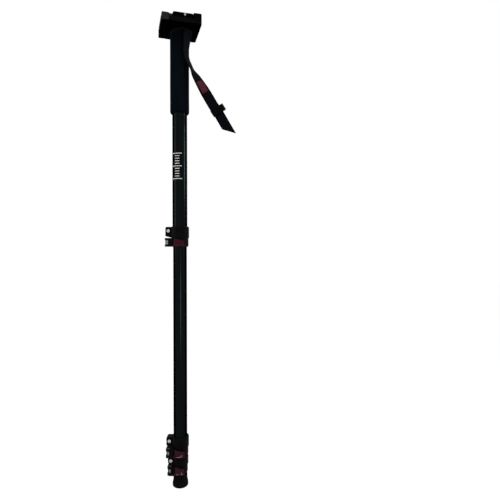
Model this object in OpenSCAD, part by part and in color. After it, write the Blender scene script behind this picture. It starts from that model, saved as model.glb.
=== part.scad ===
// Camera monopod: four nested tubes with flip locks, a foam grip, a wrist strap
// and a quick-release clamp for a camera. The second section is drawn out.
// Millimetres, +Z up the pole, origin at the middle of the foot's underside,
// lever side towards -Y.

/* [Tubes] */
// Outer diameter of the upper tube
tube_od = 29.4; // [24:0.1:36]
// Wall of every tube
tube_wall = 0.8; // [0.7:0.1:1.4]
// Radial gap between a tube and the next one inside it
tube_gap = 0.35; // [0.3:0.05:0.7]
// Length of the second section that shows when it is drawn out
drawn_out = 376; // [250:0.5:450]
// Length of the guide bush at the top of each sliding tube
guide_len = 14; // [10:1:20]

/* [Flip locks] */
// Height of a lock collar
lock_h = 38.8; // [36:0.1:46]
// Extra height of the upper lock's collar
upper_lock_more = 1.7; // [0:0.1:4]
// How much lower the lower lock's collar is
lower_lock_less = 4.8; // [0:0.1:5]
// Height of the collar's lower, clamping part
clamp_h = 18; // [17:0.5:19]
// Wall of the collar round the outer tube
collar_wall = 3.4; // [2.5:0.1:5]
// How far the ears stand out from the collar
ear_reach = 9.8; // [9.5:0.1:14]
// How much less far the lower lock's ears stand out
lower_ear_less = 1.8; // [0:0.1:2]
// Thickness of one ear
ear_t = 6; // [4:0.5:8]
// Width of the slit between the ears
slit_w = 2.5; // [1.5:0.1:3.5]
// Radius of the lever's cam
cam_r = 6; // [5:0.1:6.4]
// Height of the lever
lever_h = 17; // [13:0.5:17]
// Thickness of the lever's arm
arm_t = 2.6; // [2:0.1:4]
// How far the lever's cover bulges
cover_bulge = 3.2; // [1.5:0.1:3.5]
// Radius of the steel barrel that the lever turns on
barrel_r = 2.8; // [2.6:0.1:3.4]
// Radius of the lock's screws and bolts
bolt_r = 1.7; // [1.5:0.1:1.8]

/* [Foot] */
// Height of the rubber foot
foot_h = 25.2; // [18:0.1:30]
// Greatest radius of the rubber foot
foot_r = 15.6; // [14:0.1:20]
// Rubber under the bottom tube
foot_floor = 4; // [3:0.5:6]
// Thickness of the washer in the foot
foot_washer_t = 1.2; // [0.8:0.1:2]
// Height of the plug in the bottom tube
foot_plug_h = 20; // [12:1:40]

/* [Grip and strap] */
// Length of the foam grip
grip_len = 159.5; // [100:0.5:200]
// Outer diameter of the foam grip
grip_od = 37.8; // [34:0.1:44]
// Length over which the grip's ends round off
grip_end = 6; // [4:1:14]
// Depth of the plug in the upper tube
plug_depth = 16; // [12:1:24]
// Thickness of the plug's flange
flange_t = 3; // [2:0.5:5]
// Thickness of the strap collar
strap_collar_t = 2.4; // [2:0.1:3]
// Width of the strap's webbing
strap_w = 20; // [15:1:24]
// Thickness of the strap where it is doubled
strap_t = 2.4; // [2:0.1:3.4]

/* [Camera clamp] */
// Turn of the clamp on the pole
head_turn = 16; // [-45:0.5:45]
// Half width of the clamp, across its channel
head_half_w = 38.5; // [38:0.5:42]
// Length of the clamp, along its channel
head_len = 78; // [70:1:90]
// How much further the clamp reaches behind the pole than in front of it
head_back = 3; // [0:0.5:6]
// Thickness of the clamp's base
base_t = 9; // [8.5:0.5:12]
// Height of the clamp's fixed wall above its base
wall_h = 10; // [7.5:0.5:11]
// Half width of the plate at the channel's mouth
plate_half_w = 20; // [17:0.5:22]
// Offset of the channel from the pole's axis
channel_x = 3; // [0:0.5:4]
// Depth of the channel's undercut
undercut = 3; // [2:0.25:4]
// Height of the channel's undercut
undercut_h = 5; // [3.5:0.25:5.5]
// Thickness of the rubber on the plate
pad_t = 1.4; // [1:0.1:2.5]
// Travel of the moving jaw
jaw_travel = 1.5; // [1:0.1:2]
// Radius of the camera screw's thread
camera_screw_r = 3.175; // [3.175:0.001:3.18]
// Length of the camera screw above the rubber
camera_screw_len = 5; // [4:0.1:6]
// Radius of the stud that holds the clamp
stud_r = 4.76; // [3.175:0.005:5]

/* [Hidden] */
$fn = 96;
fit_gap = 0.03;
run_gap = 0.05;
slack = 0.3;
stack_gap = 0.5;
foot_gap = 1.6;
upper_spare = 3;
plug_wall = 3;

// Locks are numbered 0 to 2 from the top, tubes 0 to 3
slide_tube_len = drawn_out + lock_h + guide_len + stack_gap;
upper_tube_len = drawn_out + guide_len + stack_gap + plug_depth + upper_spare;
function lock_high(i) = lock_h + (i == 0 ? upper_lock_more : 0) - (i == 2 ? lower_lock_less : 0);
function lock_z(i) = foot_h + foot_gap + (i < 2 ? lock_high(2) + stack_gap : 0)
    + (i == 0 ? lock_h + drawn_out : 0);
function tube_r(i) = tube_od / 2 - i * (tube_wall + tube_gap);
function tube_bore(i) = tube_r(i) - tube_wall;
function tube_z(i) = i < 3 ? lock_z(i) + clamp_h : foot_floor + foot_washer_t;
bottom_tube_len = lock_z(2) + clamp_h + drawn_out + guide_len - tube_z(3);
function tube_len(i) = i == 0 ? upper_tube_len : i == 3 ? bottom_tube_len : slide_tube_len;
function tube_top(i) = tube_z(i) + tube_len(i);

// Lock: the collar's radii, the ears and the lever's pivot
lip_t = 1.2;
relief_t = 0.5;
ear_round = 3;
ear_notch = 4;
lower_step = 1.2;
function collar_bore(i) = tube_r(i) + fit_gap;
function collar_r(i) = tube_r(i) + collar_wall;
function clamp_r(i) = collar_r(i) - lower_step;
function ear_x(i) = -collar_r(i) - ear_reach + (i == 2 ? lower_ear_less : 0);
function pivot_x(i) = ear_x(i) + cam_r;
ear_y = slit_w / 2 + ear_t;
pivot_y = -ear_y - 0.15 - cam_r;
lever_z = 0.4;
bolt_z = lever_z + lever_h / 2;
function screw_z(i) = lock_high(i) - 8.8;
head_r = 1.85 * bolt_r;
head_t = 1.3 * bolt_r;
nut_r = 2 * bolt_r;
nut_t = 1.6 * bolt_r;
window_h = 8.4;
window_start = 40;
window_turn = 245;
cam_flat = 0.6;
open_side = 240;
arm_gap = 0.6;
arm_trim = 0.4;
arm_spare = 3;
lever_slope = 14;
arm_start = 226;
arm_end = 302;
cover_start = 240;
bridge_end = 252;
function arm_r(i) = clamp_r(i) + arm_gap;

// Upper end: plug, strap collar and grip
flange_z = tube_top(0);
flange_r = grip_od / 2 - 2;
strap_collar_z = flange_z - 0.2 - strap_collar_t;
grip_top = strap_collar_z - slack;
washer_t = 1.2;
head_z = flange_z + flange_t + washer_t;
stud_grip = base_t - 2.5;

// Strap: its bearing round the pole, and the bar that it hangs from
strap_bearing = -42;
bar_w = 2.4;
slot_r = grip_od / 2 - 0.2;
slot_t = 4.2;
bar_r = slot_r + slot_t + bar_w / 2;
slot_len = strap_w + 1.6;
strap_top = strap_collar_z - slack;
// Middle of the strap: x, y, drop below its bar, turn of its width, curl of its edges
strap_route = [
    [17.8, -16, -0.3, 47, 0],
    [18, -15.8, -10, 51, -0.2],
    [16.4, -15.7, -24, 62, -0.5],
    [14.8, -17.4, -42, 66, 0],
    [17, -15.8, -55, 66, 0],
    [21.5, -13.5, -65, 66, 0],
    [27, -13, -75, 70, 0],
    [33.5, -13, -87, 45, 0],
    [40, -13, -98, 33, 0],
    [47, -13, -110, 21, 0],
    [54, -13, -122, 9, 0],
    [61, -13, -134, 3, 0],
    [68, -13, -146, 0, 0],
    [75.6, -13, -157, 0, 0],
    [83, -13, -169, 0, 0],
    [99.2, -13, -197.2, 0, 0]
];
tip_skew = 10.4;
slider_at = 13;
slider_h = 13;
slider_bar = 1.1;
slider_tab = 6.4;

// Clamp: heights above its base, and the places of the jaw, lever and plate
neck_l = channel_x - plate_half_w;
neck_r = channel_x + plate_half_w;
undercut_z = base_t + undercut_h;
plate_top = base_t + wall_h;
base_l = neck_l - undercut - 5;
jaw_in = base_l - slack;
jaw_lip_h = 5.6;
jaw_lip_in = base_l + 2;
corner_r = 3;
wall_lip = 1;
jaw_pocket = jaw_in - 4;
eye_z = 4.8;
eye_t = 3.4;
eye_r = 3;
clamp_cam_r = 4;
clamp_cam_gap = 0.35;
clamp_pivot_x = jaw_pocket - clamp_cam_gap - clamp_cam_r - jaw_travel;
clamp_pivot_y = head_len / 2 - 19;
clamp_pin_r = 1.5;
clamp_lever_z = 1;
clamp_lever_h = 11;
clamp_arm_len = 46;
clamp_arm_t = 4.4;
clamp_web = 2.5;
draw_bolt_r = 2;
draw_bolt_end = channel_x + 8;
guide_pin_r = 1.6;
guide_pin_y = head_len / 2 - 10;
guide_pin_in = 14;
spring_r = 2.6;
spring_hole = 1.9;
spring_depth = 5;
spring_places = [-16, 6];
plate_gap = 0.15;
plate_len = head_len - 8;
screw_slot = 14;
screw_head_r = 7;
screw_head_t = 2.6;
screw_neck_r = 2.4;
stop_screw_r = 2.2;
stop_screw_x = 6;
rib_pitch = 4;
rib_cut = 0.6;

// Shared shapes

// Ring about the z axis
module ring(outer, inner, h) {
    difference() {
        cylinder(r = outer, h = h);
        translate([0, 0, -1])
            cylinder(r = inner, h = h + 2);
    }
}

// Cylinder along +y from y = 0
module rod_y(r, len) {
    rotate([-90, 0, 0])
        cylinder(r = r, h = len);
}

// Cylinder along +x from x = 0
module rod_x(r, len) {
    rotate([0, 90, 0])
        cylinder(r = r, h = len);
}

// Rectangle from one corner to the other, with round corners
module round_rect(low, high, r) {
    size = high - low;
    translate([low[0] + r, low[1]])
        square([size[0] - 2 * r, size[1]]);
    translate([low[0], low[1] + r])
        square([size[0], size[1] - 2 * r]);
    for (x = [low[0] + r, high[0] - r], y = [low[1] + r, high[1] - r])
        translate([x, y])
            circle(r = r);
}

// Tubes

module tube(i) {
    color("#1c1d1e")
        translate([0, 0, tube_z(i)])
            ring(tube_r(i), tube_bore(i), tube_len(i));
}

module tube_guide(i) {
    color("#d8d6cf")
        translate([0, 0, tube_top(i) - guide_len])
            ring(tube_bore(i - 1) - run_gap, tube_r(i) + fit_gap, guide_len);
}

// Flip locks

// Outline of one ear seen from the front, with its outer corners round, or its upper one square
module ear_outline(i, low, high, square_top) {
    inner = -collar_bore(i) - 0.2;
    round_rect([ear_x(i), low], [inner - ear_round, high], ear_round);
    translate([inner - 2 * ear_round, low])
        square([2 * ear_round, high - low]);
    if (square_top)
        translate([ear_x(i), high - 2 * ear_round])
            square(2 * ear_round);
}

// The pair of ears, before the slit is cut
module ear_pair(i, low, high, square_top = false) {
    translate([0, ear_y, 0])
        rotate([90, 0, 0])
            linear_extrude(2 * ear_y)
                ear_outline(i, low, high, square_top);
}

module lock_collar(i) {
    lip_r = tube_r(i + 1) + slack;
    bore = collar_bore(i);
    far = collar_r(i) + ear_reach + 1;
    color("#191a1b")
        translate([0, 0, lock_z(i)])
            difference() {
                union() {
                    rotate_extrude()
                        polygon([
                            [lip_r, 0], [clamp_r(i) - 1.8, 0], [clamp_r(i), 2.5],
                            [clamp_r(i), clamp_h - relief_t], [collar_r(i), clamp_h],
                            [collar_r(i), lock_high(i) - 1.5], [collar_r(i) - 1.5, lock_high(i)],
                            [bore, lock_high(i)], [bore, lip_t], [lip_r, lip_t]
                        ]);
                    ear_pair(i, clamp_h, lock_high(i) - 0.8);
                    ear_pair(i, lever_z, clamp_h - relief_t - 0.2, true);
                }
                translate([-far, -slit_w / 2, -1])
                    cube([far, slit_w, lock_high(i) + 2]);
                translate([-far, -far, clamp_h - relief_t])
                    cube([far + tube_r(i) / 3, 2 * far, relief_t]);
                translate([0, far, clamp_h - relief_t / 2])
                    rotate([90, 0, 0])
                        linear_extrude(2 * far)
                            polygon([[-far, 0], [3 - collar_r(i), 0], [-far, ear_notch]]);
                translate([pivot_x(i), -far, screw_z(i)])
                    rod_y(bolt_r + 0.1, 2 * far);
                translate([pivot_x(i), -far, bolt_z])
                    rod_y(bolt_r + 0.2, 2 * far);
            }
}

module lock_sleeve(i) {
    color("#c9c7c0")
        translate([0, 0, lock_z(i) + lip_t])
            difference() {
                ring(tube_r(i), tube_r(i + 1) + run_gap, clamp_h - lip_t - 3 * relief_t);
                translate([-2 * tube_r(i), -slit_w / 2, -1])
                    cube([2 * tube_r(i), slit_w, lock_h]);
            }
}

module lock_screw(i) {
    color("#d5d6d8")
        translate([pivot_x(i), -ear_y, lock_z(i) + screw_z(i)])
            difference() {
                union() {
                    translate([0, -head_t, 0])
                        rod_y(head_r, head_t);
                    rod_y(bolt_r, 2 * ear_y + nut_t + 0.6);
                }
                translate([0, -head_t - 1, 0])
                    rotate([-90, 0, 0])
                        cylinder(r = 0.9 * bolt_r, h = 1 + 0.6 * head_t, $fn = 6);
            }
}

module lock_nut(i) {
    color("#b9bbbe")
        translate([pivot_x(i), ear_y, lock_z(i) + screw_z(i)])
            rotate([-90, 0, 0])
                difference() {
                    cylinder(r = nut_r, h = nut_t, $fn = 6);
                    translate([0, 0, -1])
                        cylinder(r = bolt_r + fit_gap, h = nut_t + 2);
                }
}

module lock_bolt(i) {
    color("#b9bbbe")
        translate([pivot_x(i), 0, lock_z(i) + bolt_z]) {
            translate([0, ear_y, 0])
                rotate([-90, 0, 0])
                    cylinder(r = nut_r, h = head_t, $fn = 6);
            translate([0, pivot_y, 0])
                rod_y(bolt_r, ear_y - pivot_y);
        }
}

module lock_barrel(i) {
    color("#e2e3e5")
        translate([pivot_x(i), pivot_y, lock_z(i) + lever_z])
            difference() {
                cylinder(r = barrel_r, h = lever_h);
                translate([0, 0, bolt_z - lever_z])
                    rod_y(bolt_r + fit_gap, 2 * barrel_r);
            }
}

// Point at an angle round the pole
function at_angle(r, a) = [r * cos(a), r * sin(a)];

// The lever from above: its cam, and an arm that follows the collar round to the front
module lever_plan(i) {
    inner = arm_r(i);
    outer = inner + arm_t;
    pivot = [pivot_x(i), pivot_y];
    middle = (cover_start + arm_end) / 2;
    past = arm_end + 12;
    difference() {
        union() {
            translate(pivot)
                circle(r = cam_r);
            polygon([
                pivot, pivot + [0, arm_trim - cam_r], at_angle(outer + arm_spare, bridge_end),
                at_angle(outer + arm_spare, middle), at_angle(outer + arm_spare, arm_end),
                at_angle(inner - arm_spare, arm_end), at_angle(inner - arm_spare, arm_start),
                pivot + [0.7 * cam_r, 0.6 * cam_r]
            ]);
        }
        circle(r = inner);
        difference() {
            polygon([
                [0, 0], at_angle(2 * outer, cover_start),
                at_angle(2 * outer, middle), at_angle(2 * outer, past)
            ]);
            circle(r = outer);
        }
        translate(pivot)
            circle(r = barrel_r + run_gap);
        translate(pivot)
            rotate(open_side)
                translate([cam_r - cam_flat, -cam_r])
                    square([cam_r, 2 * cam_r]);
    }
}

module lock_lever(i) {
    color("#131415")
        translate([0, 0, lock_z(i) + lever_z])
            difference() {
                linear_extrude(lever_h)
                    lever_plan(i);
                translate([pivot_x(i), pivot_y, (lever_h - window_h) / 2])
                    rotate([0, 0, window_start])
                        rotate_extrude(angle = window_turn)
                            square([cam_r + 1, window_h]);
                lever_taper(i);
            }
}

// What the lever's sloping top leaves off, above its underside
module lever_taper(i) {
    outer = arm_r(i) + arm_t;
    translate([outer * cos(cover_start) + 0.8, -2 * outer, lever_h])
        rotate([0, lever_slope, 0])
            cube([3 * outer, 2 * outer, lever_h]);
}

// Curved cover on the front of the lever's arm: it flares out to a lip for the finger
module lock_cover(i) {
    half = lever_h / 2 - 0.6;
    lip = 2.3 - half;
    base = arm_r(i) + arm_t + fit_gap;
    color("#4a1420")
        translate([0, 0, lock_z(i) + lever_z])
            difference() {
                translate([0, 0, lever_h / 2])
                    rotate([0, 0, cover_start])
                        rotate_extrude(angle = arm_end - cover_start)
                            polygon([
                                [base, -half], [base + 0.6 * cover_bulge, -half],
                                [base + cover_bulge, lip - 1.1], [base + cover_bulge, lip],
                                [base + 0.62 * cover_bulge, lip + 0.38 * cover_bulge],
                                [base + 0.4 * cover_bulge, lip + 1.2 * cover_bulge],
                                [base + 0.3 * cover_bulge, half - 1.2],
                                [base + 0.12 * cover_bulge, half], [base, half]
                            ]);
                translate([0, 0, -0.6])
                    lever_taper(i);
            }
}

// Foot

module rubber_foot() {
    color("#101112")
        rotate_extrude()
            polygon([
                [0, 0], [foot_r - 2, 0], [foot_r - 0.6, 1.2], [foot_r, 3.5],
                [foot_r - 0.3, 0.32 * foot_h], [foot_r - 1.6, 0.55 * foot_h], [foot_r - 2, foot_h - 1],
                [foot_r - 3, foot_h], [tube_r(3) + fit_gap, foot_h],
                [tube_r(3) + fit_gap, foot_floor], [0, foot_floor]
            ]);
}

module foot_washer() {
    color("#a8aaad")
        translate([0, 0, foot_floor])
            ring(tube_r(3), bolt_r, foot_washer_t);
}

module foot_plug() {
    color("#2a2b2c")
        translate([0, 0, tube_z(3)])
            ring(tube_bore(3) - fit_gap, tube_bore(3) - plug_wall, foot_plug_h);
}

// Grip, plug and strap collar

module foam_grip() {
    r = grip_od / 2;
    inner = tube_r(0) + fit_gap;
    low = grip_top - grip_len;
    color("#15191c")
        rotate_extrude()
            polygon([
                [inner, low], [r - 2.8, low], [r - 1.5, low + 0.25 * grip_end],
                [r - 0.5, low + 0.6 * grip_end], [r, low + grip_end],
                [r, grip_top - grip_end], [r - 0.5, grip_top - 0.6 * grip_end],
                [r - 1.5, grip_top - 0.25 * grip_end], [r - 2.8, grip_top], [inner, grip_top]
            ]);
}

module top_plug() {
    r = tube_bore(0) - fit_gap;
    color("#232426")
        difference() {
            union() {
                translate([0, 0, flange_z - plug_depth])
                    cylinder(r = r, h = plug_depth);
                translate([0, 0, flange_z])
                    cylinder(r = flange_r, h = flange_t);
            }
            translate([0, 0, flange_z - plug_depth - 1])
                cylinder(r = r - plug_wall, h = plug_depth / 2 + 1);
            translate([0, 0, flange_z - plug_depth])
                cylinder(r = stud_r + fit_gap, h = plug_depth + flange_t + 1);
        }
}

module strap_collar() {
    half = slot_len / 2;
    reach = bar_r + bar_w / 2;
    color("#202123")
        translate([0, 0, strap_collar_z])
            difference() {
                union() {
                    cylinder(r = flange_r - 1, h = strap_collar_t);
                    rotate([0, 0, strap_bearing])
                        linear_extrude(strap_collar_t)
                            round_rect([0, -half - bar_w], [reach, half + bar_w], bar_w);
                }
                translate([0, 0, -1])
                    cylinder(r = tube_r(0) + fit_gap, h = strap_collar_t + 2);
                rotate([0, 0, strap_bearing])
                    translate([slot_r, -half, -1])
                        cube([slot_t, slot_len, strap_collar_t + 2]);
            }
}

// Strap: a flat band swept along its route

function unit(v) = v / norm(v);
function route_at(k) = [strap_route[k][0], strap_route[k][1], strap_top + strap_route[k][2]];
function route_dir(k) = unit(route_at(min(k + 1, len(strap_route) - 1)) - route_at(max(k - 1, 0)));
function across(k) = let (
        t = route_dir(k),
        turn = strap_route[k][3],
        w = [cos(turn), sin(turn), 0]
    ) unit(w - (w * t) * t);
// Six points of the band's section: front face left to right, then back face right to left
function strap_ring(k) = let (
        last = k == len(strap_route) - 1,
        w = across(k) * strap_w / 2,
        t = route_dir(k) * (last ? tip_skew : 0),
        n = cross(route_dir(k), unit(w)),
        up = n * strap_t / 2 * (k > slider_at ? 0.5 : 1),
        curl = n * strap_route[k][4],
        c = route_at(k)
    ) [c - w - t + up + curl, c + up, c + w + t + up + curl,
       c + w + t - up + curl, c - up, c - w - t - up + curl];

module wrist_strap() {
    count = len(strap_route);
    points = [for (k = [0 : count - 1]) each strap_ring(k)];
    sides = [
        for (k = [0 : count - 2], j = [0 : 5])
            each [
                [6 * k + j, 6 * k + (j + 1) % 6, 6 * (k + 1) + j],
                [6 * k + (j + 1) % 6, 6 * (k + 1) + (j + 1) % 6, 6 * (k + 1) + j]
            ]
    ];
    quads = [[0, 1, 4], [0, 4, 5], [1, 2, 3], [1, 3, 4]];
    top = [for (q = quads) [q[2], q[1], q[0]]];
    tip = [for (q = quads) [for (v = q) v + 6 * (count - 1)]];
    color("#17171a")
        polyhedron(points = points, faces = concat(sides, top, tip), convexity = 6);
}

// Slider: a flat sleeve round the strap with a ridged front and a tab at one side
module strap_slider() {
    wide = strap_w + 0.8;
    deep = strap_t + 1.2;
    place = route_at(slider_at);
    lean = atan2(across(slider_at)[2], across(slider_at)[0]);
    color("#0e0f10")
        translate(place)
            rotate([0, -lean, 0])
                translate([0, 0, -slider_h / 2])
                    difference() {
                        union() {
                            linear_extrude(slider_h)
                                round_rect([-wide / 2 - slider_bar, -deep / 2 - 1.4],
                                           [wide / 2 + slider_tab, deep / 2 + 1.4], 1.3);
                            for (z = [2, slider_h / 2, slider_h - 2])
                                translate([-wide / 2, -deep / 2 - 1.2, z])
                                    rod_x(0.9, wide + slider_tab - 1.5);
                        }
                        translate([-wide / 2, -deep / 2, -1])
                            cube([wide, deep, slider_h + 2]);
                    }
}

// Stud and washer under the clamp

module head_stud() {
    low = flange_z - plug_depth / 2;
    color("#8f9194")
        translate([0, 0, low])
            cylinder(r = stud_r, h = head_z + stud_grip - low);
}

module head_washer() {
    color("#0f0f10")
        translate([0, 0, flange_z + flange_t])
            ring(flange_r - 0.8, stud_r + slack, washer_t);
}

// Camera clamp, in its own frame: x across the channel, y along it, z above its underside

module on_head() {
    translate([0, 0, head_z])
        rotate([0, 0, head_turn])
            children();
}

// Plan of the whole clamp, with round corners
module head_plan(x0, x1) {
    intersection() {
        round_rect([-head_half_w, -head_len / 2], [head_half_w, head_len / 2 + head_back], corner_r);
        translate([x0, -head_len])
            square([x1 - x0, 2 * head_len]);
    }
}

// Section of the plate below its top, grown by g on each side
module plate_section(g) {
    wide = plate_half_w + undercut;
    polygon([
        [channel_x - wide - g, base_t], [channel_x + wide + g, base_t],
        [neck_r + g, undercut_z], [neck_r + g, plate_top + 2 * wall_lip],
        [neck_l - g, plate_top + 2 * wall_lip], [neck_l - g, undercut_z]
    ]);
}

// Shape along the channel, from its section
module along_channel(len) {
    translate([0, len / 2, 0])
        rotate([90, 0, 0])
            linear_extrude(len)
                children();
}

module clamp_body() {
    color("#1a1b1d")
        on_head()
            difference() {
                union() {
                    linear_extrude(base_t)
                        head_plan(base_l, head_half_w);
                    linear_extrude(plate_top + wall_lip)
                        head_plan(channel_x, head_half_w);
                }
                along_channel(head_len + 2 * head_back + 2)
                    plate_section(0);
                translate([0, 0, -1])
                    cylinder(r = stud_r + fit_gap, h = stud_grip + 1.2);
                translate([base_l - 1, clamp_pivot_y, eye_z])
                    rod_x(draw_bolt_r + fit_gap, draw_bolt_end - base_l + 1);
                for (side = [-1, 1])
                    translate([base_l - 1, side * guide_pin_y, eye_z])
                        rod_x(guide_pin_r + fit_gap, guide_pin_in + 1);
                for (y = spring_places)
                    translate([base_l - 1, y, eye_z])
                        rod_x(spring_r + 0.2, spring_depth + 1);
            }
}

module clamp_jaw() {
    low = 0.5;
    color("#2b2d30")
        on_head()
            difference() {
                union() {
                    translate([0, 0, low])
                        linear_extrude(base_t + jaw_lip_h - low)
                            head_plan(-head_half_w, jaw_in);
                    along_channel(head_len - 4)
                        polygon([
                            [jaw_in - 1, base_t + run_gap],
                            [neck_l - undercut - plate_gap, base_t + run_gap],
                            [neck_l - plate_gap, undercut_z], [jaw_lip_in, undercut_z],
                            [jaw_lip_in - 1, base_t + jaw_lip_h], [jaw_in - 1, base_t + jaw_lip_h]
                        ]);
                }
                translate([-head_half_w - 1, clamp_pivot_y - clamp_arm_len - 4, clamp_lever_z - slack])
                    cube([jaw_pocket + head_half_w + 1, clamp_arm_len + 12, clamp_lever_h + 2 * slack]);
                translate([-head_half_w - 1, clamp_pivot_y, eye_z])
                    rod_x(draw_bolt_r + 0.2, head_half_w);
                for (side = [-1, 1])
                    translate([jaw_in - 3, side * guide_pin_y, eye_z])
                        rod_x(guide_pin_r + run_gap, 4);
            }
}

module clamp_lever() {
    arm_x = -head_half_w - 0.6;
    color("#141516")
        on_head()
            difference() {
                translate([0, 0, clamp_lever_z])
                    union() {
                        translate([clamp_pivot_x + jaw_travel, clamp_pivot_y, 0])
                            cylinder(r = clamp_cam_r, h = clamp_lever_h);
                        linear_extrude(clamp_lever_h)
                            round_rect([arm_x, clamp_pivot_y - clamp_arm_len],
                                       [arm_x + clamp_arm_t, clamp_pivot_y + 3], 2);
                        translate([arm_x + clamp_arm_t / 2, clamp_pivot_y - clamp_web, slack])
                            cube([clamp_pivot_x + jaw_travel - arm_x - clamp_arm_t / 2,
                                  2 * clamp_web, clamp_lever_h - 2 * slack]);
                    }
                translate([clamp_pivot_x, clamp_pivot_y, -1])
                    cylinder(r = clamp_pin_r + run_gap, h = base_t + wall_h);
                translate([clamp_pivot_x - 2 * eye_r, clamp_pivot_y - eye_r - 1.2,
                           eye_z - eye_t / 2 - slack])
                    cube([4 * eye_r, 3 * eye_r, eye_t + 2 * slack]);
            }
}

module clamp_pivot() {
    color("#c4c6c9")
        on_head()
            translate([clamp_pivot_x, clamp_pivot_y, clamp_lever_z])
                cylinder(r = clamp_pin_r, h = clamp_lever_h);
}

module draw_bolt() {
    color("#c4c6c9")
        on_head()
            difference() {
                union() {
                    translate([clamp_pivot_x, clamp_pivot_y, eye_z])
                        rod_x(draw_bolt_r, draw_bolt_end - 1 - clamp_pivot_x);
                    translate([clamp_pivot_x, clamp_pivot_y, eye_z - eye_t / 2])
                        cylinder(r = eye_r, h = eye_t);
                }
                translate([clamp_pivot_x, clamp_pivot_y, -1])
                    cylinder(r = clamp_pin_r + fit_gap, h = base_t + 2);
            }
}

module guide_pins() {
    color("#c4c6c9")
        on_head()
            for (side = [-1, 1])
                translate([jaw_in - 2, side * guide_pin_y, eye_z])
                    rod_x(guide_pin_r, base_l + guide_pin_in - jaw_in + 1);
}

module jaw_springs() {
    color("#9a9ca0")
        on_head()
            for (y = spring_places)
                translate([jaw_in, y, eye_z])
                    rotate([0, 90, 0])
                        ring(spring_r, spring_hole, base_l + spring_depth - jaw_in);
}

// Plate, its rubber, and the camera screw

module screw_track(half_w, h) {
    linear_extrude(h)
        union() {
            translate([-half_w, -screw_slot])
                square([2 * half_w, 2 * screw_slot]);
            for (side = [-1, 1])
                translate([0, side * screw_slot])
                    circle(r = half_w);
        }
}

module camera_plate() {
    color("#222427")
        on_head()
            difference() {
                intersection() {
                    along_channel(plate_len)
                        plate_section(-plate_gap);
                    translate([-head_half_w, -head_len / 2, base_t + plate_gap])
                        cube([2 * head_half_w, head_len, wall_h - plate_gap]);
                }
                screw_track(camera_screw_r + 0.15, 2 * plate_top);
                translate([0, 0, base_t - 1])
                    screw_track(screw_head_r + slack, 1 + plate_gap + screw_head_t + 2 * slack);
                translate([stop_screw_x, -plate_len / 2 - 1, plate_top - stop_screw_r - 0.8])
                    rod_y(0.6 * stop_screw_r + fit_gap, 7);
            }
}

module plate_pad() {
    edge = 0.8;
    long = plate_len / 2 - edge;
    ribs = floor((long - edge) / rib_pitch);
    color("#0c0c0d")
        on_head()
            translate([0, 0, plate_top])
                difference() {
                    linear_extrude(pad_t)
                        round_rect([neck_l + edge, -long], [neck_r - edge, long], 1.6);
                    translate([0, 0, -1])
                        screw_track(camera_screw_r + 1.2, pad_t + 2);
                    for (k = [-ribs : ribs])
                        translate([neck_l, k * rib_pitch - rib_cut / 2, pad_t - rib_cut])
                            cube([2 * plate_half_w, rib_cut, 2 * rib_cut]);
                }
}

module camera_screw() {
    head_low = base_t + plate_gap + slack;
    tip = plate_top + pad_t + camera_screw_len;
    color("#cfd1d4")
        on_head()
            difference() {
                union() {
                    translate([0, 0, head_low])
                        cylinder(r = screw_head_r, h = screw_head_t);
                    translate([0, 0, head_low])
                        cylinder(r = screw_neck_r, h = plate_top + pad_t - head_low);
                    translate([0, 0, plate_top + pad_t])
                        cylinder(r = camera_screw_r, h = camera_screw_len - 0.6);
                    translate([0, 0, tip - 0.6])
                        cylinder(r1 = camera_screw_r, r2 = camera_screw_r - 0.6, h = 0.6);
                }
                translate([-screw_head_r, -0.8, head_low - 1])
                    cube([2 * screw_head_r, 1.6, 2.2]);
            }
}

module plate_stop_screw() {
    color("#e4e5e7")
        on_head()
            translate([stop_screw_x, -plate_len / 2, plate_top - stop_screw_r - 0.8]) {
                translate([0, -1.6, 0])
                    rod_y(stop_screw_r, 1.6);
                rod_y(0.6 * stop_screw_r, 5.5);
            }
}

tube(0);  // upper_tube
tube(1);  // second_tube
tube(2);  // third_tube
tube(3);  // bottom_tube
tube_guide(1);  // second_tube_guide
tube_guide(2);  // third_tube_guide
tube_guide(3);  // bottom_tube_guide
lock_collar(0);  // upper_lock_collar
lock_sleeve(0);  // upper_lock_sleeve
lock_screw(0);  // upper_lock_screw
lock_nut(0);  // upper_lock_nut
lock_bolt(0);  // upper_lock_bolt
lock_barrel(0);  // upper_lock_barrel
lock_lever(0);  // upper_lock_lever
lock_cover(0);  // upper_lock_cover
lock_collar(1);  // middle_lock_collar
lock_sleeve(1);  // middle_lock_sleeve
lock_screw(1);  // middle_lock_screw
lock_nut(1);  // middle_lock_nut
lock_bolt(1);  // middle_lock_bolt
lock_barrel(1);  // middle_lock_barrel
lock_lever(1);  // middle_lock_lever
lock_cover(1);  // middle_lock_cover
lock_collar(2);  // lower_lock_collar
lock_sleeve(2);  // lower_lock_sleeve
lock_screw(2);  // lower_lock_screw
lock_nut(2);  // lower_lock_nut
lock_bolt(2);  // lower_lock_bolt
lock_barrel(2);  // lower_lock_barrel
lock_lever(2);  // lower_lock_lever
lock_cover(2);  // lower_lock_cover
rubber_foot();
foot_washer();
foot_plug();
foam_grip();
top_plug();
strap_collar();
wrist_strap();
strap_slider();
head_stud();
head_washer();
clamp_body();
clamp_jaw();
clamp_lever();
clamp_pivot();
draw_bolt();
guide_pins();
jaw_springs();
camera_plate();
plate_pad();
camera_screw();
plate_stop_screw();
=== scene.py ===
"""Looks for a camera monopod: tubes, flip locks, foam grip, wrist strap and camera clamp."""

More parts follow.
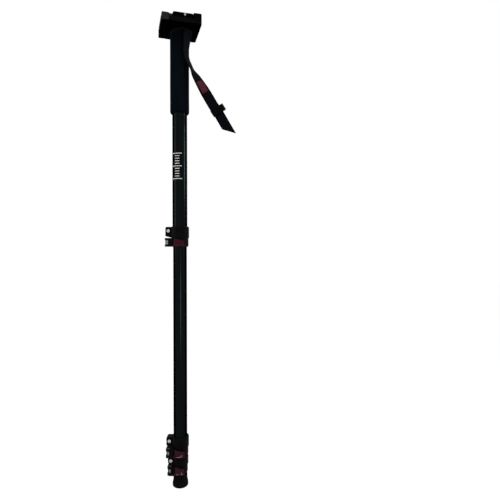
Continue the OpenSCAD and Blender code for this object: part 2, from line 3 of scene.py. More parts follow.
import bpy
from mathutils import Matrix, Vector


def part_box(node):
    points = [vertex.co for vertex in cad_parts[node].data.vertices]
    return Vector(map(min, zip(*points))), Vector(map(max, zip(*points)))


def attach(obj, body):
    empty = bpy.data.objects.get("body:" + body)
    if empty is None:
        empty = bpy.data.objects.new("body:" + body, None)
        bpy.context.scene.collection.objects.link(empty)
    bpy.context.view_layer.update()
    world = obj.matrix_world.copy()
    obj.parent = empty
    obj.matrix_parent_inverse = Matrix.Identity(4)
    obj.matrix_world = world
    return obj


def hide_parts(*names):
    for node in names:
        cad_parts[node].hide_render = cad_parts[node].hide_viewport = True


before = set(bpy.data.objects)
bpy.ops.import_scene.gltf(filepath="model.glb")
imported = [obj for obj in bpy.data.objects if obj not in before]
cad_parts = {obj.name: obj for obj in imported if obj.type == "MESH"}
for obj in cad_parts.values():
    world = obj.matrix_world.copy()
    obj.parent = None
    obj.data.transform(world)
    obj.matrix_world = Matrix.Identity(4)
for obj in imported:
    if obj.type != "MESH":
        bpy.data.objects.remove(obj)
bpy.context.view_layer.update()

import math

import bpy
from bpy.props import FloatProperty, FloatVectorProperty, IntProperty, PointerProperty
from mathutils import Vector

bl_info = {
    "name": "Camera monopod looks",
    "version": (1, 0, 0),
    "blender": (4, 5, 0),
    "location": "3D View > Sidebar > Monopod",
    "description": "Dresses the packed camera monopod in its finishes, grip and strap",
    "category": "Object",
}

LOCKS = ("upper", "middle", "lower")
MM = 0.001
# Share of light that black anodised or coated metal gives back at a glancing angle
DARK_RIM = (0.03, 0.03, 0.03)
# Scale of the noise by which a rigid finish drifts in colour and gloss
DRIFT_SCALE = 38.0
# Height that the lamps face, about half way up the pole
LAMP_AIM = 0.47


# Values that a user would change


class StageSettings(bpy.types.PropertyGroup):
    """The camera, the floor and the lamps."""

    camera_place: FloatVectorProperty(
        name="Camera place", description="Where the camera stands, looking along +Y",
        size=3, subtype="TRANSLATION", unit="LENGTH", default=(0.140, -0.900, 0.4696))
    camera_lens: FloatProperty(
        name="Lens", description="Focal length on a 36 mm wide sensor", default=32.4, min=10.0)
    camera_roll: FloatProperty(
        name="Roll", description="Turn of the picture, which leans the pole to the left",
        subtype="ANGLE", default=math.radians(0.127))
    floor_size: FloatProperty(
        name="Floor", description="Side of the square floor", unit="LENGTH", default=12.0)
    floor_colour: FloatVectorProperty(
        name="Floor colour", description="Pale floor under the foot",
        size=3, subtype="COLOR", default=(0.9, 0.9, 0.9))
    shadow_share: FloatProperty(
        name="Shadow", description="Share of the floor's light that shadows may take away",
        subtype="FACTOR", min=0.0, max=1.0, default=0.12)
    floor_white: FloatProperty(
        name="Floor white", description="Brightness of the floor's own white, which makes up for its shade",
        default=1.09)
    room_light: FloatProperty(
        name="Room light", description="Strength of the light from all sides", default=0.36)
    right_lamp: FloatProperty(
        name="Right lamp", description="Power of the high lamp at the right, in watts", default=12.7)
    left_lamp: FloatProperty(
        name="Left lamp", description="Power of the broad lamp at the left, in watts", default=9.0)
    front_lamp: FloatProperty(
        name="Front lamp", description="Power of the narrow, low lamp behind the camera, in watts",
        default=3.3)
    top_lamp: FloatProperty(
        name="Top lamp", description="Power of the wide strip overhead, in watts", default=14.0)


class FinishSettings(bpy.types.PropertyGroup):
    """Colours of the finishes."""

    tube_colour: FloatVectorProperty(
        name="Tubes", description="Black anodised aluminium",
        size=3, subtype="COLOR", default=(0.0045, 0.0058, 0.0059))
    moulding_colour: FloatVectorProperty(
        name="Mouldings", description="Black moulded plastic of the lock collars, levers and plugs",
        size=3, subtype="COLOR", default=(0.0031, 0.0031, 0.0033))
    cover_colour: FloatVectorProperty(
        name="Lever covers", description="Dark wine red lacquer",
        size=3, subtype="COLOR", default=(0.0240, 0.0015, 0.0054))
    # The lock barrels take a darker copy of this steel, a painted shade
    steel_colour: FloatVectorProperty(
        name="Bright steel", description="Polished lock screws; the barrels are a darker satin of it",
        size=3, subtype="COLOR", default=(0.46, 0.46, 0.47))
    plated_colour: FloatVectorProperty(
        name="Plated steel", description="Zinc-plated nuts, bolts and pins",
        size=3, subtype="COLOR", default=(0.46, 0.47, 0.48))
    clamp_colour: FloatVectorProperty(
        name="Clamp", description="Black powder coat of the camera clamp",
        size=3, subtype="COLOR", default=(0.0021, 0.0022, 0.0022))
    rubber_colour: FloatVectorProperty(
        name="Rubber", description="Foot, washer and plate pad",
        size=3, subtype="COLOR", default=(0.0036, 0.0036, 0.0038))
    natural_colour: FloatVectorProperty(
        name="Guides", description="Natural plastic of the tube guides and sleeves",
        size=3, subtype="COLOR", default=(0.58, 0.57, 0.52))
    mark_colour: FloatVectorProperty(
        name="Marks", description="White print of the plain ticks on the tube",
        size=3, subtype="COLOR", default=(0.62, 0.62, 0.60))


class GripSettings(bpy.types.PropertyGroup):
    """The foam grip."""

    colour: FloatVectorProperty(
        name="Foam", description="Bluish black closed-cell foam",
        size=3, subtype="COLOR", default=(0.0021, 0.0036, 0.0053))
    end_round: FloatProperty(
        name="End rounding", description="Length over which the ends round off",
        unit="LENGTH", default=6 * MM)
    end_drop: FloatProperty(
        name="End drop", description="How far the ends draw in", unit="LENGTH", default=2.7 * MM)
    unevenness: FloatProperty(
        name="Unevenness", description="How far the foam's skin wanders", unit="LENGTH", default=0.16 * MM)
    sides: IntProperty(name="Sides", description="Steps round the grip", default=112, min=24)
    rows: IntProperty(name="Rows", description="Steps along the grip", default=120, min=24)


class StrapSettings(bpy.types.PropertyGroup):
    """The wrist strap."""

    width: FloatProperty(
        name="Width", description="Width of the webbing", unit="LENGTH", default=20 * MM)
    thickness: FloatProperty(
        name="Thickness", description="Thickness of one layer of webbing", unit="LENGTH", default=1.05 * MM)
    length: FloatProperty(
        name="Length", description="From the bar to the tail's tip", unit="LENGTH", default=0.220)
    layer_gap: FloatProperty(
        name="Layers", description="Half the distance between the two layers' middles",
        unit="LENGTH", default=0.6 * MM)
    loop_radius: FloatProperty(
        name="Loop", description="Radius of the loop over the collar's bar",
        unit="LENGTH", default=2.5 * MM)
    tip_skew: FloatProperty(
        name="Tip skew", description="How far each edge runs past the middle of the slanted tip",
        unit="LENGTH", default=10.4 * MM)
    colour: FloatVectorProperty(
        name="Webbing", description="Black nylon webbing",
        size=3, subtype="COLOR", default=(0.0022, 0.0024, 0.0036))
    stripe_colour: FloatVectorProperty(
        name="Stripe", description="Plain wine red woven stripe",
        size=3, subtype="COLOR", default=(0.066, 0.0140, 0.0220))
    stripe_start: FloatProperty(
        name="Stripe start", description="Distance of the stripe's start from the bar",
        unit="LENGTH", default=105 * MM)
    stripe_end: FloatProperty(
        name="Stripe end", description="Distance of the stripe's end from the bar",
        unit="LENGTH", default=130 * MM)
    stripe_half: FloatProperty(
        name="Stripe half width", description="Share of the webbing's width on each side of its middle",
        subtype="FACTOR", min=0.0, max=0.5, default=0.33)
    slider_colour: FloatVectorProperty(
        name="Slider", description="Black plastic of the slider",
        size=3, subtype="COLOR", default=(0.0012, 0.0012, 0.0013))


# Materials


def add(tree, kind, settings=None, **inputs):
    """A node with its settings and inputs; an input that is a socket is linked."""
    made = tree.nodes.new(kind)
    for key, value in (settings or {}).items():
        setattr(made, key, value)
    for key, value in inputs.items():
        socket = made.inputs[int(key[1:])] if key[0] == "i" and key[1:].isdigit() else made.inputs[key]
        if isinstance(value, bpy.types.NodeSocket):
            tree.links.new(value, socket)
        else:
            socket.default_value = value
    return made


def calc(tree, operation, a, b=0.0):
    """Result of a Math node."""
    return add(tree, "ShaderNodeMath", {"operation": operation}, i0=a, i1=b).outputs[0]


def ramp(tree, value, low, high, to_low, to_high):
    """Value moved from one range to another, clamped."""
    return add(tree, "ShaderNodeMapRange", None, Value=value, **{
        "From Min": low, "From Max": high, "To Min": to_low, "To Max": to_high}).outputs[0]


def tint(tree, share, colour_a, colour_b):
    """Colour mixed by a share."""
    mixed = add(tree, "ShaderNodeMix", {"data_type": "RGBA"})
    tree.links.new(share, mixed.inputs["Factor"])
    for socket, colour in ((mixed.inputs[6], colour_a), (mixed.inputs[7], colour_b)):
        if isinstance(colour, bpy.types.NodeSocket):
            tree.links.new(colour, socket)
        else:
            socket.default_value = (*colour, 1.0)
    return mixed.outputs[2]


def start_material(name):
    """An empty material with one Principled shader."""
    material = bpy.data.materials.new(name)
    material.use_nodes = True
    tree = material.node_tree
    tree.nodes.clear()
    output = tree.nodes.new("ShaderNodeOutputMaterial")
    shader = tree.nodes.new("ShaderNodeBsdfPrincipled")
    tree.links.new(shader.outputs[0], output.inputs["Surface"])
    return material, tree, shader


def stretched_noise(tree, scale, stretch=(1.0, 1.0, 1.0), detail=3.0):
    """Noise in the object's own space, drawn out along its axes."""
    place = add(tree, "ShaderNodeTexCoord").outputs["Object"]
    moved = add(tree, "ShaderNodeMapping", None, Vector=place, Scale=stretch).outputs[0]
    return add(tree, "ShaderNodeTexNoise", None, Vector=moved, Scale=scale, Detail=detail).outputs[0]


def lighter(colour, times, plus=0.0):
    """A colour that many times as light."""
    return tuple(min(1.0, c * times + plus) for c in colour)


def moulded(name, colour, roughness, specular=0.3, grain=900.0, grain_depth=0.05, edge=0.35 * MM,
            wear=1.8, metallic=0.0, drift=0.25, stretch=(1.0, 1.0, 1.0), dark_rim=False):
    """A rigid finish: fine grain, slow drift of colour and gloss, softened and slightly worn edges."""
    material, tree, shader = start_material(name)
    slow = stretched_noise(tree, DRIFT_SCALE, stretch)
    fine = stretched_noise(tree, grain, stretch, 2.0)

    # An edge is where the softened normal leaves the flat one, and it wears in patches
    soft = add(tree, "ShaderNodeBevel", {"samples": 4}, Radius=edge).outputs[0]
    flat = add(tree, "ShaderNodeNewGeometry").outputs["Normal"]
    along = add(tree, "ShaderNodeVectorMath", {"operation": "DOT_PRODUCT"}, i0=soft, i1=flat)
    on_edge = ramp(tree, along.outputs["Value"], 0.985, 0.80, 0.0, 1.0)
    worn = calc(tree, "MULTIPLY", on_edge, ramp(tree, slow, 0.35, 0.65, 0.3, 1.0))

    dark, pale = lighter(colour, 1.0 - drift), lighter(colour, 1.0 + drift)
    body = tint(tree, ramp(tree, slow, 0.3, 0.7, 0.0, 1.0), dark, pale)
    tree.links.new(tint(tree, worn, body, lighter(colour, wear, 0.002)), shader.inputs["Base Color"])

    smooth, rough = roughness * 0.82, min(1.0, roughness * 1.18)
    gloss = ramp(tree, calc(tree, "ADD", slow, fine), 0.6, 1.4, smooth, rough)
    tree.links.new(gloss, shader.inputs["Roughness"])

    bump = add(tree, "ShaderNodeBump", None, Height=fine, Normal=soft, Strength=grain_depth,
               Distance=0.1 * MM)
    tree.links.new(bump.outputs[0], shader.inputs["Normal"])
    shader.inputs["Metallic"].default_value = metallic
    if dark_rim:
        shader.inputs["Specular Tint"].default_value = (*DARK_RIM, 1.0)
    shader.inputs["Specular IOR Level"].default_value = specular
    return material


def drawn_tube(name, colour):
    """Black anodised tube with the fine lines of its drawing along the pole."""
    material, tree, shader = start_material(name)
    line_scale, cloud_scale, scuff_scale = 620.0, 26.0, 170.0
    smoothest, roughest = 0.13, 0.22
    lines = stretched_noise(tree, line_scale, (1.0, 1.0, 0.004), 4.0)
    cloud = stretched_noise(tree, cloud_scale, (1.0, 1.0, 0.25))
    scuffs = stretched_noise(tree, scuff_scale, (1.0, 1.0, 0.05), 5.0)
    scuffed = ramp(tree, scuffs, 0.62, 0.78, 0.0, 1.0)
    rubbed = calc(tree, "MULTIPLY", scuffed, ramp(tree, cloud, 0.45, 0.7, 0.0, 1.0))
    body = tint(tree, ramp(tree, lines, 0.3, 0.7, 0.0, 1.0), lighter(colour, 0.75), lighter(colour, 1.3))
    tree.links.new(tint(tree, rubbed, body, lighter(colour, 2.2)), shader.inputs["Base Color"])
    gloss = calc(tree, "ADD", lines, cloud)
    tree.links.new(ramp(tree, gloss, 0.6, 1.4, smoothest, roughest), shader.inputs["Roughness"])
    bump = add(tree, "ShaderNodeBump", None, Height=lines, Strength=0.06, Distance=0.05 * MM)
    tree.links.new(bump.outputs[0], shader.inputs["Normal"])
    shader.inputs["Metallic"].default_value = 1.0
    shader.inputs["Specular Tint"].default_value = (*DARK_RIM, 1.0)
    return material


def foam(name, colour):
    """Closed-cell foam: fine pores in a dull skin that varies a little in colour."""
    material, tree, shader = start_material(name)
    fine_scale, coarse_scale, cloud_scale = 1500.0, 520.0, 30.0
    place = add(tree, "ShaderNodeTexCoord").outputs["Object"]
    cells = add(tree, "ShaderNodeTexVoronoi", None, Vector=place, Scale=fine_scale).outputs["Distance"]
    coarse = add(tree, "ShaderNodeTexVoronoi", None, Vector=place, Scale=coarse_scale).outputs["Distance"]
    cloud = stretched_noise(tree, cloud_scale, (1.0, 1.0, 0.5), 4.0)
    pores = calc(tree, "ADD", calc(tree, "MULTIPLY", cells, 0.6), calc(tree, "MULTIPLY", coarse, 0.4))
    body = tint(tree, ramp(tree, cloud, 0.3, 0.7, 0.0, 1.0), lighter(colour, 0.8), lighter(colour, 1.3))
    # The pores are painted half as light as the skin: painted shade in them
    tree.links.new(tint(tree, ramp(tree, pores, 0.0, 0.16, 1.0, 0.0), body, lighter(colour, 0.5)),
                   shader.inputs["Base Color"])
    bump = add(tree, "ShaderNodeBump", None, Height=pores, Strength=0.35, Distance=0.2 * MM)
    tree.links.new(bump.outputs[0], shader.inputs["Normal"])
    shader.inputs["Roughness"].default_value = 0.92
    shader.inputs["Specular IOR Level"].default_value = 0.004
    shader.inputs["Sheen Weight"].default_value = 0.002
    shader.inputs["Sheen Roughness"].default_value = 0.5
    return material


def webbing(name, settings):
    """Woven nylon: cords along the strap, picks across it, and a plain stripe."""
    material, tree, shader = start_material(name)
    # Cords across the width, length of a pick, and scale of the fuzz
    cords = 16.0
    pick = 1.5 * MM
    fuzz_scale = 2600.0
    place = add(tree, "ShaderNodeSeparateXYZ", None, Vector=add(tree, "ShaderNodeUVMap").outputs[0])
    across, along = place.outputs[0], place.outputs[1]
    turn = calc(tree, "MULTIPLY", across, cords)
    odd = calc(tree, "MODULO", calc(tree, "FLOOR", turn), 2.0)
    ribs = calc(tree, "ABSOLUTE", calc(tree, "SINE", calc(tree, "MULTIPLY", turn, math.pi)))
    shift = calc(tree, "MULTIPLY", odd, math.pi / 2)
    picks = calc(tree, "ADD", calc(tree, "MULTIPLY", along, math.pi / pick), shift)
    knots = calc(tree, "ABSOLUTE", calc(tree, "SINE", picks))
    height = calc(tree, "ADD", calc(tree, "MULTIPLY", ribs, 0.5), calc(tree, "MULTIPLY", knots, 0.5))
    fuzz = stretched_noise(tree, fuzz_scale, detail=2.0)
    # The weave's relief is painted into its colour: darker in its hollows and lighter on its crowns, a
    # painted shade and highlight, with a little random fuzz
    shade = ramp(tree, calc(tree, "ADD", height, calc(tree, "MULTIPLY", fuzz, 0.5)), 0.4, 1.3, 0.0, 1.0)
    plain = tint(tree, shade, lighter(settings.colour, 0.5), lighter(settings.colour, 1.5))
    wine = tint(tree, shade, lighter(settings.stripe_colour, 0.55), lighter(settings.stripe_colour, 1.35))
    inside = calc(tree, "MULTIPLY", calc(tree, "GREATER_THAN", along, settings.stripe_start),
                  calc(tree, "LESS_THAN", along, settings.stripe_end))
    off_middle = calc(tree, "ABSOLUTE", calc(tree, "SUBTRACT", across, 0.5))
    striped = calc(tree, "MULTIPLY", inside, calc(tree, "LESS_THAN", off_middle, settings.stripe_half))
    tree.links.new(tint(tree, striped, plain, wine), shader.inputs["Base Color"])
    bump = add(tree, "ShaderNodeBump", None, Height=height, Strength=0.6, Distance=0.25 * MM)
    tree.links.new(bump.outputs[0], shader.inputs["Normal"])
    shader.inputs["Roughness"].default_value = 0.72
    shader.inputs["Specular IOR Level"].default_value = 0.012
    shader.inputs["Sheen Weight"].default_value = 0.004
    shader.inputs["Sheen Roughness"].default_value = 0.4
    return material


def shown_rays(tree):
    """1 for a ray that shows the white ground as it is: from the camera, in a gloss or through glass."""
    ray = add(tree, "ShaderNodeLightPath").outputs
    shown = calc(tree, "MAXIMUM", ray["Is Camera Ray"], ray["Is Glossy Ray"])
    return calc(tree, "MAXIMUM", shown, ray["Is Transmission Ray"])


def dress(material, *nodes):
    """Gives CAD nodes a finish."""
    for name in nodes:
        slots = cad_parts[name].data.materials
        slots.clear()
        slots.append(material)


def smooth_piece(name, vertices, faces, material, body, angle):
    """A new mesh piece on a body, smooth up to an edge angle, with its material."""
    mesh = bpy.data.meshes.new(name)
    mesh.from_pydata(vertices, [], faces)
    mesh.materials.append(material)
    mesh.shade_smooth()
    mesh.set_sharp_from_angle(angle=angle)
    piece = bpy.data.objects.new(name, mesh)
    bpy.context.scene.collection.objects.link(piece)
    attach(piece, body)
    return piece


# The strap's shape

# Middle of the strap, row by row down from its bar: x, y and height over its top in millimetres, turn of
# its width in degrees and curl of its edges in millimetres
STRAP_ROUTE = (
    (17.8, -16, -0.3, 47, 0), (18, -15.8, -10, 51, -0.2), (16.4, -15.7, -24, 62, -0.5),
    (14.8, -17.4, -42, 66, 0), (17, -15.8, -55, 66, 0), (21.5, -13.5, -65, 66, 0),
    (27, -13, -75, 70, 0), (33.5, -13, -87, 45, 0), (40, -13, -98, 33, 0), (47, -13, -110, 21, 0),
    (54, -13, -122, 9, 0), (61, -13, -134, 3, 0), (68, -13, -146, 0, 0), (75.6, -13, -157, 0, 0),
    (83, -13, -169, 0, 0), (99.2, -13, -197.2, 0, 0),
)
# Row of the route that the slider holds, and sections made between two rows
SLIDER_AT = 13
ROUTE_STEPS = 10


def eased(rows, at):
    """Row at a fractional index, on a smooth curve through the rows."""
    last = len(rows) - 1
    k = min(int(at), last - 1)
    t = at - k
    before, here = rows[max(k - 1, 0)], rows[k]
    after, beyond = rows[k + 1], rows[min(k + 2, last)]
    return [
        0.5 * (2 * b + (c - a) * t + (2 * a - 5 * b + 4 * c - d) * t * t + (3 * b - a - 3 * c + d) * t ** 3)
        for a, b, c, d in zip(before, here, after, beyond)
    ]


def strap_frames(top):
    """Frames down the strap: distance, middle, width direction, outward direction, edge curl, route row."""
    count = ROUTE_STEPS * (len(STRAP_ROUTE) - 1) + 1
    rows = [eased(STRAP_ROUTE, k / ROUTE_STEPS) for k in range(count)]
    places = [Vector((r[0] * MM, r[1] * MM, top + r[2] * MM)) for r in rows]
    frames, run = [], 0.0
    for k, row in enumerate(rows):
        if k:
            run += (places[k] - places[k - 1]).length
        way = (places[min(k + 1, len(rows) - 1)] - places[max(k - 1, 0)]).normalized()
        wide = Vector((math.cos(math.radians(row[3])), math.sin(math.radians(row[3])), 0.0))
        wide = (wide - wide.dot(way) * way).normalized()
        frames.append((run, places[k], wide, way.cross(wide), row[4] * MM, k / ROUTE_STEPS))
    return frames


def ribbon(sections, half, thickness):
    """Closed band through sections of distance, middle, width, outward, curl and skew; its cloth map too."""
    # Places across the width, as shares of its half, and the share of the thickness left at the edges
    shares = (-1.0, -0.94, -0.6, -0.2, 0.2, 0.6, 0.94, 1.0)
    edge_thickness = 0.35
    vertices, cloth, faces = [], [], []
    for run, middle, wide, out, curl, skew in sections:
        for side in (1, -1):
            for s in shares if side == 1 else reversed(shares):
                thin = edge_thickness if abs(s) == 1.0 else 1.0
                vertices.append(middle + wide * s * half + skew * s
                                + out * (curl * s * s + side * thin * thickness / 2))
                cloth.append((s / 2 + 0.5, run))
    ring = 2 * len(shares)
    for k in range(len(sections) - 1):
        for j in range(ring):
            a, b = k * ring + j, k * ring + (j + 1) % ring
            faces.append((a, b, b + ring, a + ring))
    for start, flip in ((0, False), ((len(sections) - 1) * ring, True)):
        for j in range(len(shares) - 1):
            quad = (start + j, start + ring - 1 - j, start + ring - 2 - j, start + j + 1)
            faces.append(quad[::-1] if flip else quad)
    return vertices, faces, cloth


# Operators


class MONOPOD_OT_stage(bpy.types.Operator):
    """Make the camera at the photograph's view, a pale floor and soft lamps"""

    bl_idname = "monopod.stage"
    bl_label = "Stage"

    def lamp(self, name, power, bearing, distance, height, wide, tall):
        """A soft lamp that faces the pole; bearing 0 is the camera's side, positive to the right."""
        data = bpy.data.lights.new(name, "AREA")
        data.shape = "RECTANGLE"
        data.size, data.size_y = wide, tall
        data.energy = power
        lamp = bpy.data.objects.new(name, data)
        turn = math.radians(bearing)
        lamp.location = (distance * math.sin(turn), -distance * math.cos(turn), height)
        aim = Vector((0.0, 0.0, LAMP_AIM)) - lamp.location
        lamp.rotation_euler = aim.to_track_quat("-Z", "Y").to_euler()
        bpy.context.scene.collection.objects.link(lamp)

    def execute(self, context):
        look = context.scene.monopod_stage
        scene = context.scene
        scene.view_settings.view_transform = "Standard"

        data = bpy.data.cameras.new("view")
        data.lens, data.sensor_width = look.camera_lens, 36.0
        data.clip_start, data.clip_end = 0.02, 60.0
        camera = bpy.data.objects.new("view", data)
        camera.location = look.camera_place
        camera.rotation_euler = (math.pi / 2, look.camera_roll, 0.0)
        scene.collection.objects.link(camera)
        scene.camera = camera

        # The floor lies just under the foot, so that the two don't share a plane
        half, level = look.floor_size / 2, -0.3 * MM
        mesh = bpy.data.meshes.new("floor")
        corners = [(-half, -half, level), (half, -half, level), (half, half, level), (-half, half, level)]
        mesh.from_pydata(corners, [], [(0, 1, 2, 3)])
        floor = bpy.data.objects.new("floor", mesh)
        scene.collection.objects.link(floor)
        material, tree, shader = start_material("pale_floor")
        patch_scale, patch_share = 3.0, 0.985
        patches = stretched_noise(tree, patch_scale)
        shade = tint(tree, patches, lighter(look.floor_colour, patch_share), look.floor_colour)
        tree.links.new(shade, shader.inputs["Base Color"])
        shader.inputs["Roughness"].default_value = 0.9
        shader.inputs["Specular IOR Level"].default_value = 0.1
        white = add(tree, "ShaderNodeEmission", None, Color=(1, 1, 1, 1), Strength=look.floor_white)
        mixed = add(tree, "ShaderNodeMixShader")
        tree.links.new(calc(tree, "MULTIPLY", shown_rays(tree), 1.0 - look.shadow_share), mixed.inputs[0])
        tree.links.new(shader.outputs[0], mixed.inputs[1])
        tree.links.new(white.outputs[0], mixed.inputs[2])
        tree.links.new(mixed.outputs[0], tree.nodes["Material Output"].inputs["Surface"])
        mesh.materials.append(material)

        world = bpy.data.worlds.new("room")
        world.use_nodes = True
        scene.world = world
        tree = world.node_tree
        tree.nodes.clear()
        light = add(tree, "ShaderNodeBackground", None, Color=(1, 1, 1, 1), Strength=look.room_light)
        white = add(tree, "ShaderNodeBackground", None, Color=(1, 1, 1, 1), Strength=1.0)
        mixed = add(tree, "ShaderNodeMixShader")
        tree.links.new(shown_rays(tree), mixed.inputs[0])
        tree.links.new(light.outputs[0], mixed.inputs[1])
        tree.links.new(white.outputs[0], mixed.inputs[2])
        output = tree.nodes.new("ShaderNodeOutputWorld")
        tree.links.new(mixed.outputs[0], output.inputs["Surface"])

        self.lamp("right_lamp", look.right_lamp, bearing=88, distance=1.5, height=1.10, wide=0.16, tall=0.70)
        self.lamp("left_lamp", look.left_lamp, bearing=-80, distance=1.5, height=0.85, wide=1.3, tall=0.8)
        self.lamp("front_lamp", look.front_lamp, bearing=18, distance=1.7, height=0.17, wide=0.07, tall=0.34)
        self.lamp("top_lamp", look.top_lamp, bearing=0, distance=0.85, height=1.9, wide=2.2, tall=0.12)
        return {"FINISHED"}


class MONOPOD_OT_strap(bpy.types.Operator):
    """Make the wrist strap: webbing over the collar's bar and through the slider, with a slanted tail"""

    bl_idname = "monopod.strap"
    bl_label = "Wrist strap"

    def execute(self, context):
        look = context.scene.monopod_strap
        collar_low, collar_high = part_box("strap_collar")
        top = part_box("wrist_strap")[1].z
        bar_z = (collar_low.z + collar_high.z) / 2
        frames = strap_frames(top)
        held = SLIDER_AT * ROUTE_STEPS
        # Length below the bar over which the two layers close up
        closing = 14 * MM
        # Steps of the loop over the bar
        loop_steps = 12
        # Sections by which the back layer runs past the slider's middle
        tucked = 6
        # Rows past the slider where the tail leaves the front layer's place, and rows it takes to the middle
        settle_from, settle_over = 0.3, 0.6

        def offset(run):
            share = min(1.0, run / closing)
            share = share * share * (3 - 2 * share)
            return look.loop_radius + (look.layer_gap - look.loop_radius) * share

        no_skew = Vector((0.0, 0.0, 0.0))
        sections = []
        for run, middle, wide, out, curl, _ in reversed(frames[:held + tucked]):
            sections.append((run, middle - out * offset(run), wide, -out, -curl, no_skew))
        _, middle, wide, out, _, _ = frames[0]
        crest = Vector((middle.x, middle.y, bar_z))
        for step in range(loop_steps + 1):
            turn = math.pi * step / loop_steps
            level = -out * math.cos(turn) + Vector((0, 0, 1)) * math.sin(turn)
            sections.append((0.0, crest + level * look.loop_radius, wide, level, 0.0, no_skew))
        for run, middle, wide, out, curl, at in frames:
            settled = max(0.0, min(1.0, (at - SLIDER_AT - settle_from) / settle_over))
            in_last_row = max(0.0, at - (len(STRAP_ROUTE) - 2))
            skew = -out.cross(wide) * look.tip_skew * in_last_row
            lie = middle + out * (offset(run) - look.layer_gap * settled)
            sections.append((run, lie, wide, out, curl, skew))
        vertices, faces, cloth = ribbon(sections, look.width / 2, look.thickness)
        strap = smooth_piece("strap_webbing", vertices, faces, webbing("nylon_webbing", look),
                             "handle", angle=math.radians(50))
        layer = strap.data.uv_layers.new(name="cloth")
        for loop in strap.data.loops:
            layer.data[loop.index].uv = cloth[loop.vertex_index]
        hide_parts("wrist_strap")
        plastic = moulded("slider_plastic", look.slider_colour, roughness=0.34, specular=0.02, grain=1500.0)
        dress(plastic, "strap_slider")
        return {"FINISHED"}


class MONOPOD_OT_grip(bpy.types.Operator):
    """Make the foam grip with rounded ends and a slightly uneven skin"""

    bl_idname = "monopod.grip"
    bl_label = "Foam grip"

    def execute(self, context):
        look = context.scene.monopod_grip
        low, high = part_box("foam_grip")
        outer = high.x
        tube_gap = 0.02 * MM
        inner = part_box("upper_tube")[1].x + tube_gap
        rows, sides = look.rows, look.sides
        # Power of the curve by which the ends draw in; 2 would be an ellipse
        end_power = 2.4
        profile = []
        for k in range(rows + 1):
            share = 0.5 - 0.5 * math.cos(math.pi * k / rows)
            z = low.z + (high.z - low.z) * share
            near = min(z - low.z, high.z - z) / look.end_round
            inward = max(0.0, 1 - near) ** end_power
            drop = look.end_drop * (1 - math.sqrt(max(0.0, 1 - inward)))
            profile.append((outer - drop, z))
        profile = [(inner, low.z)] + profile + [(inner, high.z)]
        vertices, faces = [], []
        for k, (radius, z) in enumerate(profile):
            for j in range(sides):
                turn = 2 * math.pi * j / sides
                wander = 0.0
                if 0 < k < len(profile) - 1:
                    # Two crossing waves, round the grip and along it
                    waves = math.sin(3 * turn + 41 * z) + math.sin(2 * turn - 97 * z + 1.3)
                    wander = -look.unevenness * (0.5 + 0.25 * waves)
                vertices.append(((radius + wander) * math.cos(turn), (radius + wander) * math.sin(turn), z))
        for k in range(len(profile)):
            after = (k + 1) % len(profile)
            for j in range(sides):
                i = (j + 1) % sides
                faces.append((k * sides + j, k * sides + i, after * sides + i, after * sides + j))
        grip = smooth_piece("grip_foam", vertices, faces, foam("grip_foam", look.colour),
                            "handle", angle=math.radians(60))
        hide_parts("foam_grip")
        return {"FINISHED"}


class MONOPOD_OT_tubes(bpy.types.Operator):
    """Finish the tubes and print plain ticks on the upper one"""

    bl_idname = "monopod.tubes"
    bl_label = "Tubes"

    def execute(self, context):
        look = context.scene.monopod_finish
        tube = drawn_tube("anodised_tube", look.tube_colour)
        dress(tube, "upper_tube", "second_tube", "third_tube", "bottom_tube")
        natural = moulded("natural_plastic", look.natural_colour, roughness=0.5, grain=700.0, drift=0.06,
                          wear=1.0)
        dress(natural, "second_tube_guide", "third_tube_guide", "bottom_tube_guide",
              *[f"{lock}_lock_sleeve" for lock in LOCKS])

        # A scale of short ticks with a long one at every fifth; a tick's ends are measured across the tube
        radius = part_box("upper_tube")[1].x
        scale_bottom = 0.610
        film, pitch, tall = 0.03 * MM, 5 * MM, 1.3 * MM
        ticks, long_every = 11, 5
        long_ends, short_ends = (-12.0, 6.0), (-7.5, 1.5)
        arc_steps = 20
        vertices, faces = [], []
        for k in range(ticks):
            ends = long_ends if k % long_every == 0 else short_ends
            start, stop = (math.asin(x * MM / radius) for x in ends)
            first = len(vertices)
            for j in range(arc_steps + 1):
                turn = start + (stop - start) * j / arc_steps
                for r, z in ((radius, 0.0), (radius + film, 0.0), (radius + film, tall), (radius, tall)):
                    height = scale_bottom + k * pitch + z
                    vertices.append((r * math.sin(turn), -r * math.cos(turn), height))
            for j in range(arc_steps):
                for a, b in ((0, 1), (1, 2), (2, 3), (3, 0)):
                    p = first + 4 * j
                    faces.append((p + a, p + b, p + 4 + b, p + 4 + a))
            end = first + 4 * arc_steps
            faces += [(first, first + 3, first + 2, first + 1), (end, end + 1, end + 2, end + 3)]
        print_white = moulded("white_print", look.mark_colour, roughness=0.55, grain=1800.0, drift=0.12,
                              wear=1.0)
        smooth_piece("tube_ticks", vertices, faces, print_white, "handle",
                     angle=math.radians(40))
        return {"FINISHED"}


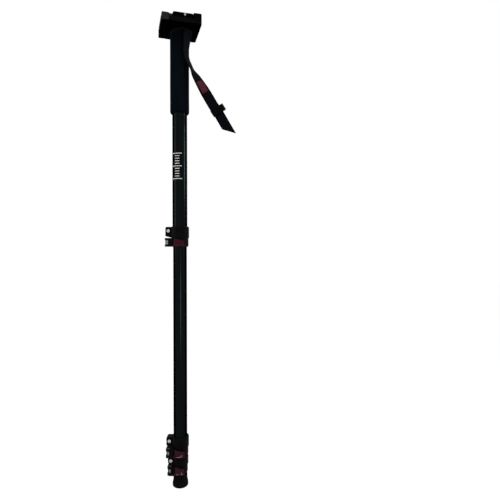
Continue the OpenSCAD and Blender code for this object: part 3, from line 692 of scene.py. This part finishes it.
class MONOPOD_OT_locks(bpy.types.Operator):
    """Finish the flip locks: collars, levers, covers, screws and nuts"""

    bl_idname = "monopod.locks"
    bl_label = "Flip locks"

    def execute(self, context):
        look = context.scene.monopod_finish
        collar = moulded("collar_moulding", look.moulding_colour, roughness=0.38, specular=0.012,
                         grain=1100.0)
        lever = moulded("lever_moulding", look.moulding_colour, roughness=0.22, specular=0.02, grain=1400.0,
                        grain_depth=0.03)
        cover = moulded("wine_lacquer", look.cover_colour, roughness=0.09, specular=0.09, grain=1600.0,
                        grain_depth=0.02, wear=2.2, drift=0.15)
        # Share of the bright steel's colour in its darker copy, a painted shade on the lock barrels and the
        # plate's stop screw
        shaded_steel_share = 0.42
        steel = {"metallic": 1.0, "edge": 0.25 * MM}
        turned = {"grain": 2200.0, "grain_depth": 0.02, "wear": 1.05, "drift": 0.05}
        shaded_steel_colour = lighter(look.steel_colour, shaded_steel_share)
        bright = moulded("bright_steel", look.steel_colour, roughness=0.36, **steel, **turned)
        shaded_steel = moulded("steel_with_painted_shade", shaded_steel_colour, roughness=0.36, **steel, **turned)
        plated = moulded("plated_steel", look.plated_colour, roughness=0.34, grain=1800.0, wear=1.15,
                         drift=0.1, **steel)
        for lock in LOCKS:
            dress(collar, f"{lock}_lock_collar")
            dress(lever, f"{lock}_lock_lever")
            dress(cover, f"{lock}_lock_cover")
            dress(bright, f"{lock}_lock_screw")
            dress(shaded_steel, f"{lock}_lock_barrel")
            dress(plated, f"{lock}_lock_nut", f"{lock}_lock_bolt")
        dress(shaded_steel, "plate_stop_screw")
        dress(plated, "foot_washer", "head_stud", "clamp_pivot", "draw_bolt", "guide_pins", "jaw_springs",
              "camera_screw")
        return {"FINISHED"}


class MONOPOD_OT_ends(bpy.types.Operator):
    """Finish the camera clamp at the top and the rubber foot"""

    bl_idname = "monopod.ends"
    bl_label = "Clamp and foot"

    def execute(self, context):
        look = context.scene.monopod_finish
        # Shares of the clamp's colour: the jaw's lighter copy is a painted highlight, the plate's darker
        # copy a painted shade
        jaw_highlight_share, plate_shade_share = 6.5, 0.3
        black = {"metallic": 1.0, "dark_rim": True}
        coat = moulded("clamp_coat", look.clamp_colour, roughness=0.40, grain=1300.0, grain_depth=0.12,
                       **black)
        # The jaw's anodise is made lighter than the clamp's coat: a painted highlight
        jaw = moulded("jaw_anodise_and_highlight", lighter(look.clamp_colour, jaw_highlight_share), roughness=0.28, grain=1700.0,
                      stretch=(1.0, 0.1, 1.0), **black)
        plug = moulded("plug_moulding", look.moulding_colour, roughness=0.45, specular=0.03, grain=1000.0)
        rubber = moulded("soft_rubber", look.rubber_colour, roughness=0.70, specular=0.01, grain=1900.0,
                         grain_depth=0.2, edge=0.6 * MM, wear=1.5)
        # The plate's coat is made darker than the clamp's coat: a painted shade
        plate = moulded("plate_coat_painted_shade", lighter(look.clamp_colour, plate_shade_share), roughness=0.36, grain=1500.0,
                        grain_depth=0.1, **black)
        dress(coat, "clamp_body", "clamp_lever")
        dress(plate, "camera_plate")
        dress(jaw, "clamp_jaw")
        dress(plug, "foot_plug", "top_plug", "strap_collar")
        dress(rubber, "rubber_foot", "head_washer", "plate_pad")
        return {"FINISHED"}


class MONOPOD_PT_looks(bpy.types.Panel):
    """The monopod's looks, piece by piece"""

    bl_idname = "MONOPOD_PT_looks"
    bl_label = "Camera monopod"
    bl_space_type = "VIEW_3D"
    bl_region_type = "UI"
    bl_category = "Monopod"

    def draw(self, context):
        for made in OPERATORS:
            self.layout.operator(made.bl_idname)
        for name, kind in SETTINGS.items():
            box = self.layout.box()
            for value in kind.__annotations__:
                box.prop(getattr(context.scene, name), value)


OPERATORS = (MONOPOD_OT_stage, MONOPOD_OT_strap, MONOPOD_OT_grip, MONOPOD_OT_tubes, MONOPOD_OT_locks,
             MONOPOD_OT_ends)
SETTINGS = {"monopod_stage": StageSettings, "monopod_finish": FinishSettings, "monopod_grip": GripSettings,
            "monopod_strap": StrapSettings}


def register():
    """Adds the settings, the operators and the panel."""
    for made in (*SETTINGS.values(), *OPERATORS, MONOPOD_PT_looks):
        bpy.utils.register_class(made)
    for name, kind in SETTINGS.items():
        setattr(bpy.types.Scene, name, PointerProperty(type=kind))


def unregister():
    """Takes them away again."""
    for name in SETTINGS:
        delattr(bpy.types.Scene, name)
    for made in (MONOPOD_PT_looks, *reversed(OPERATORS), *SETTINGS.values()):
        bpy.utils.unregister_class(made)


def main():
    """Dresses the part."""
    register()
    bpy.ops.monopod.stage()
    bpy.ops.monopod.strap()
    bpy.ops.monopod.grip()
    bpy.ops.monopod.tubes()
    bpy.ops.monopod.locks()
    bpy.ops.monopod.ends()
    bpy.context.view_layer.update()


if __name__ == "__main__":
    main()
